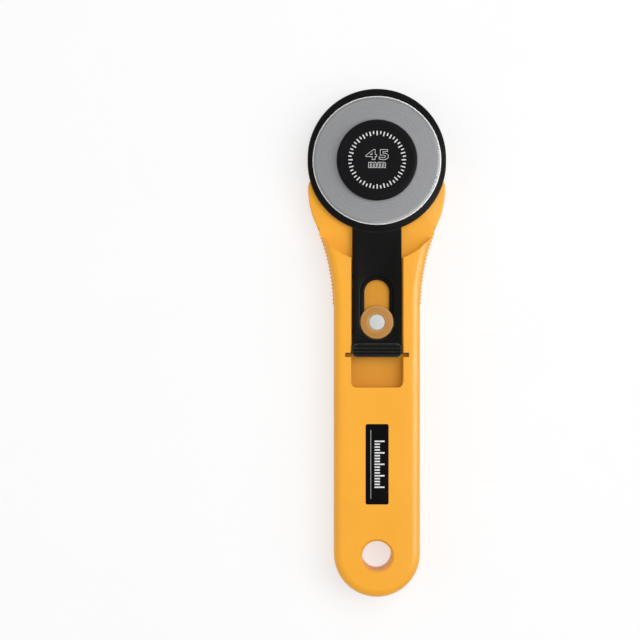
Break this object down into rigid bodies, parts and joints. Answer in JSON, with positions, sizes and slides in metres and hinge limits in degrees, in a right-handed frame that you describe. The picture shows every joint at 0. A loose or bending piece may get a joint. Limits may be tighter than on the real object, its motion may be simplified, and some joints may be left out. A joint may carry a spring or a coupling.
{
  "type": "rotary cutter",
  "caption": "Straight-handled rotary cutter with a round blade on a pivot bolt, a sliding guard that covers the edge, and a lock nut behind the head.",
  "frame": {"origin": "middle of the length and the width, on the surface that the cutter lies on", "axes": "+Y from the tail to the blade, +Z out of the front face that carries the guard and the blade, +X to the right seen from the front"},
  "size_m": [0.0486, 0.1776, 0.0162],
  "materials": {
    "handle_plastic": "satin moulded golden yellow",
    "label_film": "gloss black film",
    "guard_plastic": "satin moulded black",
    "stud_plastic": "satin moulded amber",
    "pin_plastic": "smooth light grey",
    "blade_steel": "fine ground with a polished bevel",
    "bolt_steel": "turned bright zinc",
    "cap_plastic": "satin black",
    "spring_steel": "rolled spring steel",
    "nut_plastic": "satin moulded black",
    "insert_brass": "turned brass"
  },
  "bodies": {
    "handle": {"handle": "handle_plastic", "label_plate": "label_film", "guard_stud": "stud_plastic", "stud_pin": "pin_plastic", "pivot_bolt": "bolt_steel", "bolt_cap": "cap_plastic"},
    "guard": {"blade_guard": "guard_plastic"},
    "blade": {"blade": "blade_steel"},
    "washer": {"spring_washer": "spring_steel"},
    "nut": {"lock_nut": "nut_plastic", "nut_insert": "insert_brass"}
  },
  "joints": [
    {"name": "guard_slide", "type": "slide", "parent": "handle", "child": "guard", "axis": [0, -1, 0], "range_m": [0, 0.0105]},
    {"name": "blade_spin", "type": "hinge", "parent": "handle", "child": "blade", "pos_m": [0, 0.06375, 0.01255], "axis": [0, 0, 1], "continuous": true},
    {"name": "nut_back_off", "type": "slide", "parent": "handle", "child": "washer", "axis": [0, 0, -1], "range_m": [0, 0.004]},
    {"name": "nut_turn", "type": "hinge", "parent": "washer", "child": "nut", "pos_m": [0, 0.06375, 0.0027], "axis": [0, 0, -1], "range_deg": [0, 1440]}
  ],
  "couplings": [
    {"joint": "nut_back_off", "follows": "nut_turn", "m_per_rad": 0.00015915}
  ]
}
